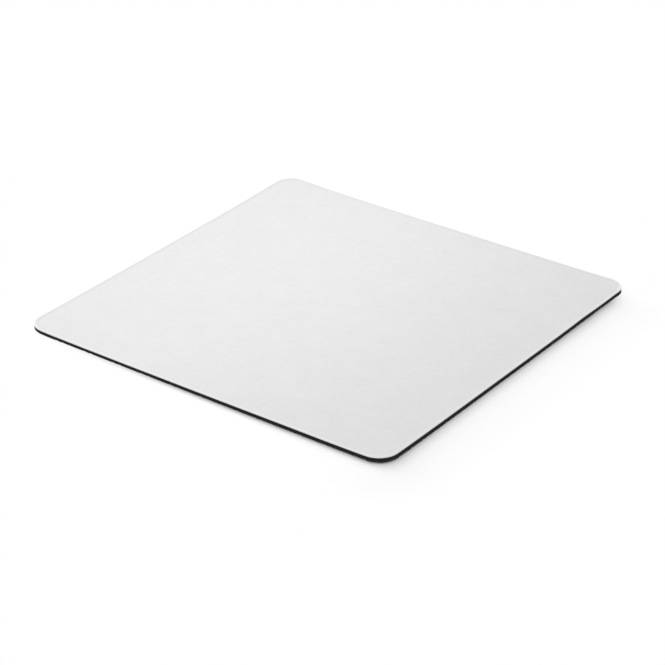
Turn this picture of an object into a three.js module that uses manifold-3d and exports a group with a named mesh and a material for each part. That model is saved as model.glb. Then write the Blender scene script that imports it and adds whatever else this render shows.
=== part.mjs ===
// A soft mouse pad: three sheets bonded face to face and cut out together with one rounded die.
// They are a white knitted fabric face, a bonding film, and a black foam rubber base embossed for grip.
// Millimetres, +Z up. The origin is the middle of the underside, on the surface that the pad lies on.

import * as THREE from "three";
import { mergeVertices } from "three/addons/utils/BufferGeometryUtils.js";
import Module from "manifold-3d";

const wasm = await Module();
wasm.setup();

// Outline of the die
const padWidth = 240; // along X
const padDepth = 232; // along Y
const cornerRadius = 11;

// Sheets, from the underside up
const baseThickness = 2.35;
const filmThickness = 0.1;
const fabricThickness = 0.55;

// Cut edge
const wallDish = 0.2; // the squeezed foam springs back, which leaves its cut wall hollow by this much
const footRound = 0.3; // rounding between the wall and the underside
const lipWidth = 2.2; // strip of fabric that the cut pulls up into a low lip along the edge
const lipRise = 0.2; // from the face to the top of the lip
const rollWidth = 0.4; // from the top of the lip out to the cut
const pinchedThickness = 0.3; // fabric that stands upright at the cut

// Embossed grip: ribs with flat lands that zigzag across the underside, with V grooves between them
const ribPitch = 5; // from one groove to the next
const grooveWidth = 2; // at the underside
const grooveDepth = 0.4;
const zigzagRun = 10; // along X, from one corner of the zigzag to the next
const zigzagSwing = 2.5; // along Y, to each side of the groove's middle line
const cutOverrun = 1; // how far the groove cutters reach past what they cut

// Facets
const cornerSteps = 10;
const wallSteps = 4;
const footSteps = 2;
const lipSteps = 6;
const rollSteps = 5;

// Heights of the bonded faces
const filmBottom = baseThickness;
const fabricBottom = filmBottom + filmThickness;

// The die's outline, drawn in by an inset, as a loop of points at one height.
// Each corner arc gets two steps for every division of the shape.
function outlineLoop(inset, height) {
  const x = padWidth / 2 - cornerRadius;
  const y = padDepth / 2 - cornerRadius;
  const radius = cornerRadius - inset;
  const shape = new THREE.Shape();
  shape.absarc(x, y, radius, 0, Math.PI / 2);
  shape.absarc(-x, y, radius, Math.PI / 2, Math.PI);
  shape.absarc(-x, -y, radius, Math.PI, 1.5 * Math.PI);
  shape.absarc(x, -y, radius, 1.5 * Math.PI, 2 * Math.PI);
  const points = shape.getPoints(cornerSteps / 2);
  return points.map((point) => new THREE.Vector3(point.x, point.y, height));
}

// A closed solid through a stack of loops that have as many points as each other and turn the same way
function loft(loops) {
  const count = loops[0].length;
  const positions = loops.flat().flatMap((point) => point.toArray());
  const triangles = [];
  for (let level = 1; level < loops.length; level += 1) {
    for (let i = 0; i < count; i += 1) {
      const next = (i + 1) % count;
      const low = (level - 1) * count;
      const high = level * count;
      triangles.push(low + i, low + next, high + next);
      triangles.push(low + i, high + next, high + i);
    }
  }
  const last = (loops.length - 1) * count;
  for (let i = 1; i < count - 1; i += 1) {
    triangles.push(0, i + 1, i);
    triangles.push(last, last + i, last + i + 1);
  }
  const geometry = new THREE.BufferGeometry();
  geometry.setAttribute("position", new THREE.Float32BufferAttribute(positions, 3));
  geometry.setIndex(triangles);
  return geometry;
}

// Conversions between closed meshes and solids that can be cut
function toSolid(geometry) {
  const merged = mergeVertices(geometry);
  const vertProperties = new Float32Array(merged.attributes.position.array);
  const triVerts = new Uint32Array(merged.index.array);
  return new wasm.Manifold(new wasm.Mesh({ numProp: 3, vertProperties, triVerts }));
}

function toGeometry(solid) {
  const mesh = solid.getMesh();
  const geometry = new THREE.BufferGeometry();
  geometry.setAttribute("position", new THREE.BufferAttribute(mesh.vertProperties, 3));
  geometry.setIndex(new THREE.BufferAttribute(mesh.triVerts, 1));
  return geometry;
}

// The base's edge, from the underside up the rounded foot and the dished wall to the film
function baseEdge() {
  const loops = [];
  for (let step = 0; step < footSteps; step += 1) {
    const angle = ((Math.PI / 2) * step) / footSteps;
    loops.push(outlineLoop(footRound * (1 - Math.sin(angle)), footRound * (1 - Math.cos(angle))));
  }
  for (let step = 0; step <= wallSteps; step += 1) {
    const rise = step / wallSteps;
    const height = footRound + (baseThickness - footRound) * rise;
    loops.push(outlineLoop(wallDish * Math.sin(Math.PI * rise), height));
  }
  return loops;
}

// One V groove: a three-cornered section that zigzags along X past both edges of the pad
function grooveCutter(middle) {
  const reach = Math.ceil(padWidth / 2 / zigzagRun) + 1;
  const halfWidth = (grooveWidth / 2) * (1 + cutOverrun / grooveDepth);
  const sections = [];
  for (let corner = -reach; corner < reach; corner += 1) {
    const x = (corner + 0.5) * zigzagRun;
    const y = middle + (corner % 2 === 0 ? zigzagSwing : -zigzagSwing);
    sections.push([
      new THREE.Vector3(x, y - halfWidth, -cutOverrun),
      new THREE.Vector3(x, y + halfWidth, -cutOverrun),
      new THREE.Vector3(x, y, grooveDepth),
    ]);
  }
  return loft(sections);
}

function rubberBase() {
  let base = toSolid(loft(baseEdge()));
  const reach = Math.ceil((padDepth / 2 + zigzagSwing) / ribPitch) + 1;
  for (let groove = -reach; groove < reach; groove += 1) {
    base = base.subtract(toSolid(grooveCutter((groove + 0.5) * ribPitch)));
  }
  return toGeometry(base);
}

function bondingFilm() {
  return loft([outlineLoop(0, filmBottom), outlineLoop(0, fabricBottom)]);
}

// The fabric lies flat on the film. From the pinched cut its outer face turns up a quarter of an ellipse
// to the top of the lip, and slopes gently from there down to the face.
function fabricFace() {
  const loops = [outlineLoop(0, fabricBottom)];
  const cutTop = fabricBottom + pinchedThickness;
  const faceHeight = fabricBottom + fabricThickness;
  const lipTop = faceHeight + lipRise;
  for (let step = 0; step <= rollSteps; step += 1) {
    const angle = ((Math.PI / 2) * step) / rollSteps;
    const height = cutTop + (lipTop - cutTop) * Math.sin(angle);
    loops.push(outlineLoop(rollWidth * (1 - Math.cos(angle)), height));
  }
  for (let step = 1; step <= lipSteps; step += 1) {
    const slope = step / lipSteps;
    const height = faceHeight + (lipRise * (1 + Math.cos(Math.PI * slope))) / 2;
    loops.push(outlineLoop(rollWidth + lipWidth * slope, height));
  }
  return loft(loops);
}

const whiteKnit = new THREE.MeshStandardMaterial({ color: 0xe9e9e8, roughness: 0.92, metalness: 0 });
const clearFilm = new THREE.MeshStandardMaterial({ color: 0xc9c9c4, roughness: 0.55, metalness: 0 });
const blackFoam = new THREE.MeshStandardMaterial({ color: 0x1c1c1d, roughness: 0.85, metalness: 0 });

const mousePad = new THREE.Group();

function addSheet(name, geometry, material) {
  geometry.computeVertexNormals();
  const mesh = new THREE.Mesh(geometry, material);
  mesh.name = name;
  mousePad.add(mesh);
}

addSheet("rubber_base", rubberBase(), blackFoam);
addSheet("bonding_film", bondingFilm(), clearFilm);
addSheet("fabric_face", fabricFace(), whiteKnit);

export default mousePad;
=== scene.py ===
"""A soft mouse pad on a pale floor: a white knitted face on a black foam rubber base. Metres, +Z up."""

import math

import bpy
import numpy as np
from mathutils import Matrix, Vector


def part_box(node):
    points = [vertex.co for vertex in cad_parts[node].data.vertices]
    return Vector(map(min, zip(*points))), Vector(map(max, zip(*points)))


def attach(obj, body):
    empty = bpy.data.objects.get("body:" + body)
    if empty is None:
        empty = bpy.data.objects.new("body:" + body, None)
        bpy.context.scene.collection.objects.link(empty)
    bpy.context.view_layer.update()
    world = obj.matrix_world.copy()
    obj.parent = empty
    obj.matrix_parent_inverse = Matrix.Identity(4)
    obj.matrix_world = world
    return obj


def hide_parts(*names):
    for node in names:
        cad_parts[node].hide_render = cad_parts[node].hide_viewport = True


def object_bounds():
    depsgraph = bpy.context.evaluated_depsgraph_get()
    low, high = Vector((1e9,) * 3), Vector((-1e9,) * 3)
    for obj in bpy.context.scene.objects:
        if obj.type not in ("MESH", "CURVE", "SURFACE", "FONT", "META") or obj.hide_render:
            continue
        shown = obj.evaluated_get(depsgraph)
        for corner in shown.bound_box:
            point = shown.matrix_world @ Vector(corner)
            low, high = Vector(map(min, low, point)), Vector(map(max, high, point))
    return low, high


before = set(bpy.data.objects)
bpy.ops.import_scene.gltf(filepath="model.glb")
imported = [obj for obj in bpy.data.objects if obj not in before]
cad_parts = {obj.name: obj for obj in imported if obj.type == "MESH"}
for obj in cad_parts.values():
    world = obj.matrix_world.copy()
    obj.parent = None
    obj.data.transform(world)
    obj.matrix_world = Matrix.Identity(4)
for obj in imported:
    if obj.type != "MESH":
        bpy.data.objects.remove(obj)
cad_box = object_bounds()

MM = 0.001

# The pad's outline and layers. The solids are centred, so their high corner is at half their sizes.
HALF_WIDTH, HALF_DEPTH, LIP_TOP = cad_box[1]
FILM_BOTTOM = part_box("bonding_film")[0].z
FILM_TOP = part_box("bonding_film")[1].z
CORNER_RADIUS = 11 * MM

# The cut edge
WALL_DISH = 0.2 * MM
FOOT_ROUND = 0.3 * MM
LIP_WIDTH = 2.2 * MM
LIP_RISE = 0.2 * MM
FACE_TOP = LIP_TOP - LIP_RISE
ROLL_WIDTH = 0.4 * MM
PINCHED_THICKNESS = 0.3 * MM

# The embossed grip
RIB_PITCH = 5 * MM
GROOVE_WIDTH = 2 * MM
GROOVE_DEPTH = 0.4 * MM
ZIGZAG_RUN = 10 * MM
ZIGZAG_SWING = 2.5 * MM
ZIGZAG_SHARPNESS_SHARE = 0.985

# How far each corner has curled up off the floor: over a broad stretch of the pad, and at its very tip.
# A corner goes by the signs of its x and y.
BROAD_LIFTS = {(1, 1): 0.32 * MM, (-1, 1): 1.57 * MM, (-1, -1): 0.53 * MM, (1, -1): 0.7 * MM}
BROAD_POWER = 4
TIP_LIFTS = {(1, 1): 0.76 * MM, (-1, 1): -0.53 * MM, (-1, -1): 0.33 * MM, (1, -1): 0.29 * MM}
TIP_POWER = 14

# Where the edge has come off the floor: place, reach and rise
EDGE_LIFTS = [
    ((120 * MM, 66 * MM), 24 * MM, 0.18 * MM),
    ((120 * MM, 70 * MM), 9 * MM, 0.2 * MM),
    ((58 * MM, -116 * MM), 32 * MM, 0.125 * MM),
]

# How far the underside has slipped aside below the face at each corner
SLIPS = {
    (1, 1): (0.1 * MM, 0.0),
    (-1, 1): (0.0, 0.3 * MM),
    (-1, -1): (-0.5 * MM, 0.6 * MM),
    (1, -1): (0.38 * MM, 0.0),
}

# Where the underside has slipped aside at one place: place, reach and way
LOCAL_SLIPS = [
    ((120 * MM, 88 * MM), 10 * MM, (-0.32 * MM, 0.0)),
    ((-102 * MM, -116 * MM), 9 * MM, (0.0, -0.27 * MM)),
]

# Where the cut strays from the die's line: place, reach and how far out
STRAYS = [((119 * MM, 109.6 * MM), 4 * MM, 0.6 * MM)]

# The meshes' fineness. Grid points closer to the outline than SNAP_SHARE of a step are moved onto it.
FILM_STEP = 2.3 * MM
FACE_STEP = 1.63 * MM
SNAP_SHARE = 0.12
CUT_HALVINGS = 30
FAR_RING_SHARES = (0.985, 0.965, 0.94, 0.91, 0.87, 0.8, 0.7, 0.55, 0.35, 0.15)
SHARP_ANGLE = math.radians(35)

# Which of a sheet's three materials is for which part of it
GRIDDED_FACE, EDGE, FAR_FACE = range(3)

# The camera, at the photograph's viewing angle
CAMERA_PLACE = Vector((0.72113, -0.95127, 0.64575))
CAMERA_PITCH = math.radians(28.950)
CAMERA_YAW = math.radians(37.123)
CAMERA_ROLL = math.radians(-0.542)
FOCAL_LENGTH = 133.441
SENSOR_WIDTH = 36.0
CLIP_START, CLIP_END = 0.05, 20.0

# The light: the room's level, and each lamp's place, the point that it faces, its size and its watts
AMBIENT_LEVEL = 0.78
LAMPS = {
    "key": ((-0.9, 0.2, 0.41), (0, 0, 0), (0.3, 0.5), 4.55),
    "top": ((-0.04, -0.007, 0.19), (-0.04, -0.007, 0), (0.1, 0.35), 0.085),
}

# The floor: a square of paper that takes the shadow
FLOOR_HALF = 6.0
FLOOR_LEVEL = 0.93

# In the picture the paper glows a little, and less on the side that the key lamp leaves in shade
LIT_GLOW = 0.0975
SHADED_GLOW = 0.075

# Where the glow rises and where the floor turns white, in millimetres out from the pad's outline
GLOW_START = -0.5
LIT_GLOW_END = 2.5
SHADED_GLOW_END = 8.0
WHITE_RAMP = (6.0, 40.0)

# Where the shaded side begins, in millimetres along x
SHADE_RAMP = (112.0, 126.0)

# Where the shadow fades out at the left and right corners, in millimetres along x and along y
LEFT_FADE = ((30.0, -110.0), (-85.0, -108.0))
RIGHT_FADE = ((80.0, 112.0), (92.0, 113.0))
FADE_SHARE = 0.93


# The pad's form

def around(x, y, place, reach):
    """1 at a place, falling smoothly to 0 at about twice the reach."""
    return np.exp(-((x - place[0]) ** 2 + (y - place[1]) ** 2) / reach ** 2)


def rim_distance(x, y):
    """Distance to the outline, negative inside it."""
    over_x = np.abs(x) - (HALF_WIDTH - CORNER_RADIUS)
    over_y = np.abs(y) - (HALF_DEPTH - CORNER_RADIUS)
    outside = np.hypot(np.maximum(over_x, 0), np.maximum(over_y, 0))
    return outside + np.minimum(np.maximum(over_x, over_y), 0) - CORNER_RADIUS


def rim_normal(x, y):
    """The way out from the outline's nearest point, as two arrays. It is 0 well inside the outline."""
    over_x = np.maximum(np.abs(x) - (HALF_WIDTH - CORNER_RADIUS), 0)
    over_y = np.maximum(np.abs(y) - (HALF_DEPTH - CORNER_RADIUS), 0)
    length = np.maximum(np.hypot(over_x, over_y), 1e-12)
    return np.sign(x) * over_x / length, np.sign(y) * over_y / length


def lift(x, y):
    """How far the pad has curled up at a point."""
    nearness = np.abs(x * y / (HALF_WIDTH * HALF_DEPTH))
    side_x, side_y = np.where(x < 0, -1, 1), np.where(y < 0, -1, 1)
    total = np.zeros_like(nearness)
    for corner in BROAD_LIFTS:
        here = (side_x == corner[0]) & (side_y == corner[1])
        rise = BROAD_LIFTS[corner] * nearness ** BROAD_POWER
        rise = rise + TIP_LIFTS[corner] * nearness ** TIP_POWER
        total = np.where(here, rise, total)
    for place, reach, rise in EDGE_LIFTS:
        total = total + rise * around(x, y, place, reach)
    return total


def slip(x, y, z):
    """How far a point has slipped aside, as two arrays. The underside slips most, the film not at all."""
    depth = np.clip(1 - z / FILM_BOTTOM, 0, 1)
    slip_x, slip_y = np.zeros_like(x), np.zeros_like(x)
    for (side_x, side_y), (along_x, along_y) in SLIPS.items():
        share = (1 + side_x * x / HALF_WIDTH) * (1 + side_y * y / HALF_DEPTH) / 4
        slip_x = slip_x + along_x * share * depth
        slip_y = slip_y + along_y * share * depth
    for place, reach, (along_x, along_y) in LOCAL_SLIPS:
        share = around(x, y, place, reach)
        slip_x = slip_x + along_x * share * depth
        slip_y = slip_y + along_y * share * depth
    return slip_x, slip_y


def stray(x, y):
    """How far a point moves with the cut, as two arrays. It fades out inside the corners' radius."""
    out_x, out_y = rim_normal(x, y)
    size = np.zeros_like(x)
    for place, reach, out in STRAYS:
        size = size + out * around(x, y, place, reach)
    size = size * np.clip(1 + rim_distance(x, y) / CORNER_RADIUS, 0, 1)
    return out_x * size, out_y * size


def worn(points):
    """Points of the pad as the die left it, moved to where they are on the curled and slipped pad."""
    x, y, z = points.T
    slip_x, slip_y = slip(x, y, z)
    stray_x, stray_y = stray(x, y)
    return np.column_stack([x + slip_x + stray_x, y + slip_y + stray_y, z + lift(x, y)])


def zigzag(x):
    """How far a groove has swung aside at x. Its corners are slightly rounded."""
    wave = np.arcsin(ZIGZAG_SHARPNESS_SHARE * np.sin(np.pi * x / ZIGZAG_RUN))
    return ZIGZAG_SWING * wave / math.asin(ZIGZAG_SHARPNESS_SHARE)


def groove_height(x, y):
    """Height of the embossed underside: 0 on a land, the groove's depth along its middle."""
    across = (y - zigzag(x)) % RIB_PITCH - RIB_PITCH / 2
    share = np.minimum(np.abs(across) / (GROOVE_WIDTH / 2), 1)
    return GROOVE_DEPTH * (1 + np.cos(np.pi * share)) / 2


# Meshes

def steps(half, size):
    """Evenly spaced places from well outside one side to well outside the other."""
    count = math.ceil(half / size) + 1
    return np.arange(-count, count) * size + size / 2


def snapped_grid(xs, ys, shear, inset):
    """A grid whose points close to the outline, drawn in by inset, are moved onto it.

    Returns the points' x and y, and their side of that outline: -1 inside, 0 on it and 1 outside.
    """
    x, y = np.meshgrid(xs, ys, indexing="ij")
    y = y + shear(x)
    distance = rim_distance(x, y) + inset
    on_rim = np.abs(distance) < SNAP_SHARE * min(np.diff(xs).min(), np.diff(ys).min())
    out_x, out_y = rim_normal(x, y)
    x = np.where(on_rim, x - out_x * distance, x)
    y = np.where(on_rim, y - out_y * distance, y)
    return x, y, np.where(on_rim, 0, np.sign(distance)).astype(int)


def cut_point(inner, outer, inset):
    """Where the line from an inner to an outer point crosses the outline drawn in by inset."""
    low, high = 0.0, 1.0
    for _ in range(CUT_HALVINGS):
        share = (low + high) / 2
        x = inner[0] + share * (outer[0] - inner[0])
        y = inner[1] + share * (outer[1] - inner[1])
        if rim_distance(x, y) + inset < 0:
            low = share
        else:
            high = share
    return x, y


def clipped_grid(xs, ys, shear, inset):
    """The part of a grid that lies inside the outline drawn in by inset.

    Returns its points, its faces, and the indices of its rim in order round the pad.
    """
    x, y, side = snapped_grid(xs, ys, shear, inset)
    points, rim, faces, index_of = [], [], [], {}

    def add(key, point, on_rim):
        index_of[key] = len(points)
        points.append(point)
        if on_rim:
            rim.append(index_of[key])

    def at_node(node):
        if node not in index_of:
            add(node, (x[node], y[node]), side[node] == 0)
        return index_of[node]

    def at_cut(a, b):
        key = (min(a, b), max(a, b))
        if key not in index_of:
            inner, outer = (a, b) if side[a] < 0 else (b, a)
            add(key, cut_point((x[inner], y[inner]), (x[outer], y[outer]), inset), True)
        return index_of[key]

    for i in range(len(xs) - 1):
        for j in range(len(ys) - 1):
            corners = [(i, j), (i + 1, j), (i + 1, j + 1), (i, j + 1)]
            if min(side[corner] for corner in corners) >= 0:
                continue
            face = []
            for corner, following in zip(corners, corners[1:] + corners[:1]):
                if side[corner] <= 0:
                    face.append(at_node(corner))
                if side[corner] * side[following] < 0:
                    face.append(at_cut(corner, following))
            faces.append(face)
    rim.sort(key=lambda index: math.atan2(points[index][1], points[index][0]))
    return np.array(points), faces, rim


def at_level(x, y, level):
    return np.full_like(x, level)


def no_shear(x):
    return np.zeros_like(x)


def edge_rings(rim, edge, edge_height):
    """A ring of points below or outside the rim for each (inset, level) of the edge after the first."""
    out_x, out_y = rim_normal(rim[:, 0], rim[:, 1])
    rings = []
    for inset, level in edge[1:]:
        x = rim[:, 0] + out_x * (edge[0][0] - inset)
        y = rim[:, 1] + out_y * (edge[0][0] - inset)
        rings.append(np.column_stack([x, y, edge_height(x, y, level)]))
    return rings


def far_rings(outer, height):
    """Rings that close a sheet's far face from its outer ring inwards, and the point in its middle."""
    rings = []
    for share in FAR_RING_SHARES:
        x, y = outer[:, 0] * share, outer[:, 1] * share
        rings.append(np.column_stack([x, y, at_level(x, y, height)]))
    return rings, np.array([[0.0, 0.0, height]])


def layer(name, xs, ys, shear, height, edge, far_height, edge_height=at_level, turned_over=False):
    """One closed sheet: a gridded face, an edge through rings of (inset, level), and a plain far face.

    The gridded face looks up, or down where the sheet is turned over.
    """
    flat, faces, rim = clipped_grid(xs, ys, shear, edge[0][0])
    materials = [GRIDDED_FACE] * len(faces)
    walls = edge_rings(flat[rim], edge, edge_height)
    far, middle = far_rings(walls[-1], far_height)
    count = len(rim)
    before, start = rim, len(flat)
    for material, rings in ((EDGE, walls), (FAR_FACE, far)):
        for _ in rings:
            after = range(start, start + count)
            faces += [[before[i - 1], after[i - 1], after[i], before[i]] for i in range(count)]
            materials += [material] * count
            before, start = after, start + count
    faces += [[before[i - 1], start, before[i]] for i in range(count)]
    materials += [FAR_FACE] * count
    if turned_over:
        faces = [face[::-1] for face in faces]
    gridded = np.column_stack([flat, height(flat[:, 0], flat[:, 1])])
    return make_piece(name, worn(np.concatenate([gridded, *walls, *far, middle])), faces, materials)


def make_piece(name, points, faces, materials):
    mesh = bpy.data.meshes.new(name)
    mesh.from_pydata(points.tolist(), [], faces)
    mesh.polygons.foreach_set("material_index", materials)
    mesh.polygons.foreach_set("use_smooth", [True] * len(faces))
    mesh.set_sharp_from_angle(angle=SHARP_ANGLE)
    piece = bpy.data.objects.new(name, mesh)
    bpy.context.scene.collection.objects.link(piece)
    return piece


# Pieces

def make_base():
    """The foam rubber base. Its gridded face is the underside, whose grooves run out through the foot."""
    run_shares = np.array([-0.5, -0.16, -0.05, 0.05, 0.16])
    groove_shares = np.array([-1.0, -0.62, -0.3, 0.0, 0.3, 0.62, 1.0])
    foot_steps, wall_steps = 4, 8
    xs = (steps(HALF_WIDTH, ZIGZAG_RUN)[:, None] + run_shares * ZIGZAG_RUN).ravel()
    across = np.append(groove_shares * GROOVE_WIDTH / 2, RIB_PITCH / 2)
    ys = (steps(HALF_DEPTH + 2 * ZIGZAG_SWING, RIB_PITCH)[:, None] + across).ravel()
    edge = []
    for angle in np.linspace(0, math.pi / 2, foot_steps, endpoint=False):
        edge.append((FOOT_ROUND * (1 - math.sin(angle)), FOOT_ROUND * (1 - math.cos(angle))))
    for rise in np.linspace(0, 1, wall_steps + 1):
        level = FOOT_ROUND + (FILM_BOTTOM - FOOT_ROUND) * rise
        edge.append((WALL_DISH * math.sin(math.pi * rise), level))
    return layer(
        "foam_base", xs, ys, zigzag, groove_height, edge, FILM_BOTTOM,
        edge_height=lambda x, y, level: np.maximum(level, groove_height(x, y)), turned_over=True,
    )


def make_film():
    """The bonding film, of which only the edge shows."""
    grid = steps(HALF_WIDTH, FILM_STEP)
    edge = [(0, FILM_TOP), (0, FILM_BOTTOM)]
    return layer("film", grid, grid, no_shear, lambda x, y: at_level(x, y, FILM_TOP), edge, FILM_BOTTOM)


def make_face():
    """The knitted face. The cut has pulled its edge up into a low lip, and rolled it down outside that."""
    lip_steps, roll_steps = 8, 6
    grid = steps(HALF_WIDTH, FACE_STEP)
    cut_top = FILM_TOP + PINCHED_THICKNESS
    edge = []
    for share in np.linspace(0, 1, lip_steps, endpoint=False):
        level = FACE_TOP + LIP_RISE * (1 - math.cos(math.pi * share)) / 2
        edge.append((ROLL_WIDTH + LIP_WIDTH * (1 - share), level))
    for angle in np.linspace(math.pi / 2, 0, roll_steps + 1):
        level = cut_top + (LIP_TOP - cut_top) * math.sin(angle)
        edge.append((ROLL_WIDTH * (1 - math.cos(angle)), level))
    edge.append((0, FILM_TOP))
    return layer("knit_face", grid, grid, no_shear, lambda x, y: at_level(x, y, FACE_TOP), edge, FILM_TOP)


# Materials

class Graph:
    """Builds the nodes of a material or world. A value may be a number, a colour or a node's output."""

    def __init__(self, owner, output="OutputMaterial"):
        self.owner = owner
        owner.use_nodes = True
        self.tree = owner.node_tree
        self.tree.nodes.clear()
        self.output = self.node(output)

    def node(self, kind, inputs=(), **settings):
        made = self.tree.nodes.new("ShaderNode" + kind)
        for key, value in settings.items():
            setattr(made, key, value)
        for key, value in dict(inputs).items():
            if isinstance(value, bpy.types.NodeSocket):
                self.tree.links.new(value, made.inputs[key])
            else:
                made.inputs[key].default_value = value
        return made

    def show(self, shader):
        self.tree.links.new(shader.outputs[0], self.output.inputs["Surface"])

    def principled(self, **inputs):
        """Shows a principled shader with these inputs, and returns the material."""
        named = {name.replace("_", " "): value for name, value in inputs.items()}
        self.show(self.node("BsdfPrincipled", named))
        return self.owner

    def math(self, operation, *values):
        return self.node("Math", enumerate(values), operation=operation).outputs[0]

    def scaled(self, value, factor, offset):
        """The value times a factor, plus an offset."""
        return self.math("MULTIPLY_ADD", value, factor, offset)

    def wave(self, value, period):
        """A sine of the value, from -1 to 1."""
        return self.math("SINE", self.math("MULTIPLY", value, 2 * math.pi / period))

    def ramp(self, value, start, end, top=1.0, kind="LINEAR"):
        """0 at start and top at end."""
        inputs = {0: value, 1: start, 2: end, 4: top}
        return self.node("MapRange", inputs, interpolation_type=kind).outputs[0]

    def soft_ramp(self, value, start, end):
        """0 at start and 1 at end, with soft ends."""
        return self.ramp(value, start, end, kind="SMOOTHSTEP")

    def blend(self, share, a, b):
        """A colour between a and b."""
        return self.node("Mix", {0: share, 6: a, 7: b}, data_type="RGBA").outputs[2]

    def bump(self, height, depth, strength=1.0):
        return self.node("Bump", {"Height": height, "Distance": depth, "Strength": strength}).outputs[0]

    def noise(self, vector, period, detail=2.0, roughness=0.5):
        """Noise from 0 to 1, with features about period millimetres across."""
        inputs = {"Vector": vector, "Scale": 1 / period, "Detail": detail, "Roughness": roughness}
        return self.node("TexNoise", inputs).outputs[0]

    def cells(self, vector, period):
        """Distance from the middle of the nearest cell. Cells are about period millimetres across."""
        return self.node("TexVoronoi", {"Vector": vector, "Scale": 1 / period}, feature="F1").outputs[0]

    def millimetres(self):
        """The place on the piece, in millimetres, as a vector and as its x and y."""
        place = self.node("TexCoord").outputs["Object"]
        scaled = self.node("VectorMath", {0: place, "Scale": 1 / MM}, operation="SCALE").outputs[0]
        parts = self.node("SeparateXYZ", {0: scaled}).outputs
        return scaled, parts["X"], parts["Y"]

    def outline_distance(self, place):
        """Millimetres to the pad's outline, negative inside it. It is level well inside the outline."""
        inner = ((HALF_WIDTH - CORNER_RADIUS) / MM, (HALF_DEPTH - CORNER_RADIUS) / MM, 1 / MM)
        over = self.node("VectorMath", {0: place}, operation="ABSOLUTE").outputs[0]
        over = self.node("VectorMath", {0: over, 1: inner}, operation="SUBTRACT").outputs[0]
        over = self.node("VectorMath", {0: over, 1: (0.0, 0.0, 0.0)}, operation="MAXIMUM").outputs[0]
        length = self.node("VectorMath", {0: over}, operation="LENGTH").outputs["Value"]
        return self.math("SUBTRACT", length, CORNER_RADIUS / MM)

    def picture_rays(self):
        """1 for rays that see something, straight or mirrored, and 0 for those that only light the pad."""
        rays = self.node("LightPath").outputs
        seen = rays["Is Camera Ray"]
        for kind in ("Is Glossy Ray", "Is Transmission Ray"):
            seen = self.math("MAXIMUM", seen, rays[kind])
        return seen


def grey(level, tint=0.0):
    """A linear colour, slightly warm where tint is above 0."""
    return (level * (1 + tint), level, level * (1 - tint), 1.0)


def stitches(graph, x, y):
    """Height of the knit's V stitches, from 0 to 1. In each column the rows dip toward its middle."""
    wale, course = 0.62, 0.48
    column = graph.math("DIVIDE", x, wale)
    dip = graph.math("PINGPONG", column, 0.5)
    ridge = graph.math("ABSOLUTE", graph.wave(column, period=2))
    row = graph.math("ADD", graph.math("DIVIDE", y, course), dip)
    stitch = graph.scaled(graph.wave(row, period=1), 0.5, 0.5)
    return graph.math("MULTIPLY", ridge, graph.scaled(stitch, 0.6, 0.4))


def knit_material():
    """A fine matte white polyester knit, slightly uneven, with painted shade in the stitch gaps and along
    the lip, and a painted highlight at the cut.
    """
    lip_shade_ramp = (-2.9, -1.9)
    cut_highlight_ramp = (-1.1, -0.4)
    graph = Graph(bpy.data.materials.new("white_knit"))
    place, x, y = graph.millimetres()
    yarn = graph.noise(place, period=0.12, detail=3.0)
    height = graph.scaled(yarn, 0.3, stitches(graph, x, y))
    mottle = graph.noise(place, period=3.2, detail=3.0, roughness=0.6)
    drift = graph.noise(place, period=14.0)
    # The stitches' height lightens their ridges and darkens the gaps between them: painted shade. The
    # mottle and drift are the knit's own uneven tone.
    level = graph.scaled(mottle, 0.5, graph.math("MULTIPLY", height, 0.3))
    level = graph.scaled(drift, 0.3, level)
    colour = graph.blend(level, grey(0.67), grey(0.80))
    rim = graph.outline_distance(place)
    # Painted shade along the lip, from about 2.9 mm inside the outline out to the cut
    colour = graph.blend(graph.ramp(rim, *lip_shade_ramp, top=0.18), colour, grey(0.62))
    # Painted highlight on the roll at the cut, in about the last millimetre inside the outline
    colour = graph.blend(graph.ramp(rim, *cut_highlight_ramp), colour, grey(0.87))
    return graph.principled(
        Base_Color=colour, Roughness=0.93, Normal=graph.bump(height, 0.05 * MM, 0.6),
        Specular_IOR_Level=0.25, Sheen_Weight=0.08, Sheen_Roughness=0.5,
    )


def film_material():
    """Milky hot-melt film."""
    graph = Graph(bpy.data.materials.new("hot_melt_film"))
    place, _, _ = graph.millimetres()
    cloud = graph.noise(place, period=1.5)
    colour = graph.blend(cloud, grey(0.42, tint=0.01), grey(0.56, tint=0.01))
    return graph.principled(Base_Color=colour, Roughness=0.5, Normal=graph.bump(cloud, 0.02 * MM))


def foam_material():
    """Open black foam at the cut wall: pores of two sizes between thin cell walls, with painted shade in
    the pores.
    """
    graph = Graph(bpy.data.materials.new("cut_foam"))
    place, _, _ = graph.millimetres()
    pores = graph.scaled(graph.cells(place, period=0.75), 0.5, graph.cells(place, period=0.3))
    grain = graph.noise(place, period=0.9)
    # The pores are darker than their walls: painted shade in the pores
    colour = graph.blend(pores, grey(0.006), grey(0.026))
    colour = graph.blend(graph.math("MULTIPLY", grain, 0.5), colour, grey(0.012))
    return graph.principled(
        Base_Color=colour, Roughness=0.9, Normal=graph.bump(pores, 0.14 * MM), Specular_IOR_Level=0.15,
    )


def skin_material():
    """The moulded skin of the underside, with a fine cloth print and wear."""
    cloth_pitch = 0.7
    graph = Graph(bpy.data.materials.new("moulded_skin"))
    place, x, y = graph.millimetres()
    weave = graph.math("MULTIPLY", graph.wave(x, cloth_pitch), graph.wave(y, cloth_pitch))
    grain = graph.noise(place, period=0.35, detail=3.0)
    height = graph.scaled(weave, 0.5, grain)
    wear = graph.noise(place, period=9.0, detail=4.0, roughness=0.65)
    colour = graph.blend(wear, grey(0.013), grey(0.026))
    colour = graph.blend(grain, colour, grey(0.018))
    return graph.principled(
        Base_Color=colour, Roughness=graph.scaled(wear, 0.2, 0.62),
        Normal=graph.bump(height, 0.05 * MM, 0.7), Specular_IOR_Level=0.35,
    )


# Studio

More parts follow.
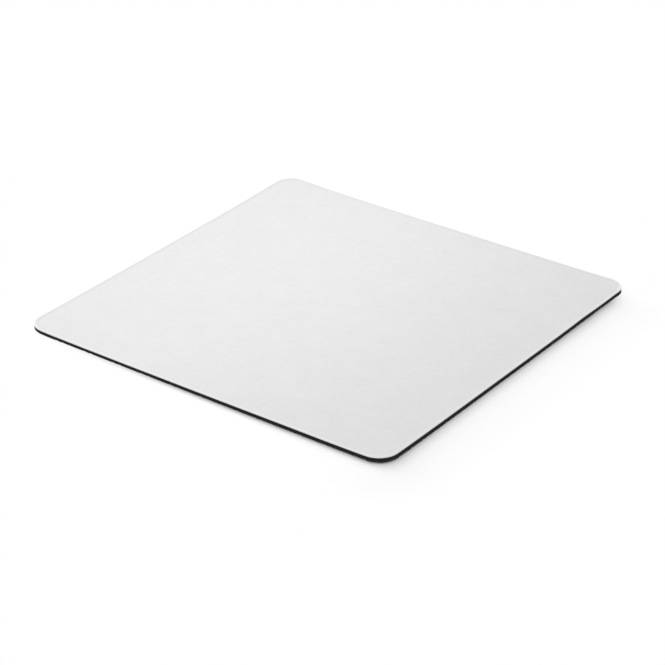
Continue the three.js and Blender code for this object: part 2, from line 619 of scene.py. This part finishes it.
def shadow_fade(graph, x, y):
    """How far the floor's shadow has faded, from 0 to FADE_SHARE."""
    shares = []
    for along_x, along_y in (LEFT_FADE, RIGHT_FADE):
        shares.append(graph.math("MULTIPLY", graph.soft_ramp(x, *along_x), graph.soft_ramp(y, *along_y)))
    return graph.math("MULTIPLY", graph.math("MAXIMUM", *shares), FADE_SHARE)


def floor_glow(graph, x, away):
    """How much the paper glows for the camera at a distance from the pad's outline."""
    shade = graph.soft_ramp(x, *SHADE_RAMP)
    end = graph.scaled(shade, SHADED_GLOW_END - LIT_GLOW_END, LIT_GLOW_END)
    strength = graph.scaled(shade, SHADED_GLOW - LIT_GLOW, LIT_GLOW)
    return graph.math("MULTIPLY", graph.soft_ramp(away, GLOW_START, end), strength)


def floor_material():
    """Pale paper that the camera sees as white where no shadow lies."""
    graph = Graph(bpy.data.materials.new("pale_floor"))
    place, x, y = graph.millimetres()
    away = graph.outline_distance(place)
    seen = graph.picture_rays()
    paper = graph.node("BsdfDiffuse", {"Color": grey(FLOOR_LEVEL)})
    strength = graph.math("MULTIPLY", seen, floor_glow(graph, x, away))
    glow = graph.node("Emission", {"Strength": strength})
    near = graph.node("AddShader", {0: paper.outputs[0], 1: glow.outputs[0]})
    far = graph.node("Emission", {"Strength": 1.0})
    whiteness = graph.math("MAXIMUM", graph.soft_ramp(away, *WHITE_RAMP), shadow_fade(graph, x, y))
    share = graph.math("MULTIPLY", seen, whiteness)
    graph.show(graph.node("MixShader", {0: share, 1: near.outputs[0], 2: far.outputs[0]}))
    return graph.owner


def make_floor():
    signs = ((-1, -1), (1, -1), (1, 1), (-1, 1))
    mesh = bpy.data.meshes.new("floor")
    mesh.from_pydata([(FLOOR_HALF * x, FLOOR_HALF * y, 0) for x, y in signs], [], [[0, 1, 2, 3]])
    mesh.materials.append(floor_material())
    floor = bpy.data.objects.new("floor", mesh)
    bpy.context.scene.collection.objects.link(floor)


def make_world():
    """An even white room: it lights the pad at AMBIENT_LEVEL and is white where it's seen."""
    graph = Graph(bpy.data.worlds.new("studio"), "OutputWorld")
    level = graph.node("MapRange", {0: graph.picture_rays(), 3: AMBIENT_LEVEL}).outputs[0]
    graph.show(graph.node("Background", {"Color": grey(1.0), "Strength": level}))
    bpy.context.scene.world = graph.owner


def make_lamp(name, place, target, size, power):
    data = bpy.data.lights.new(name, "AREA")
    data.shape = "RECTANGLE"
    data.size, data.size_y = size
    data.energy = power
    lamp = bpy.data.objects.new(name, data)
    lamp.location = place
    lamp.rotation_euler = (Vector(target) - Vector(place)).to_track_quat("-Z", "Y").to_euler()
    lamp.visible_camera = False
    bpy.context.scene.collection.objects.link(lamp)


def make_camera():
    data = bpy.data.cameras.new("camera")
    data.sensor_width = SENSOR_WIDTH
    data.lens = FOCAL_LENGTH
    data.clip_start, data.clip_end = CLIP_START, CLIP_END
    camera = bpy.data.objects.new("camera", data)
    turn = Matrix.Rotation(CAMERA_YAW, 4, "Z") @ Matrix.Rotation(math.pi / 2 - CAMERA_PITCH, 4, "X")
    turn = turn @ Matrix.Rotation(CAMERA_ROLL, 4, "Z")
    camera.matrix_world = Matrix.Translation(CAMERA_PLACE) @ turn
    bpy.context.scene.collection.objects.link(camera)
    bpy.context.scene.camera = camera


make_camera()
make_floor()
make_world()
for name, (place, target, size, power) in LAMPS.items():
    make_lamp(name, place, target, size, power)

base = make_base()
for material in (skin_material(), foam_material(), foam_material()):
    base.data.materials.append(material)
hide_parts("rubber_base")

film = make_film()
for _ in range(3):
    film.data.materials.append(film_material())
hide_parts("bonding_film")

face = make_face()
for _ in range(3):
    face.data.materials.append(knit_material())
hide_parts("fabric_face")

for piece in (base, film, face):
    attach(piece, "root")

bpy.context.scene.view_settings.view_transform = "Standard"
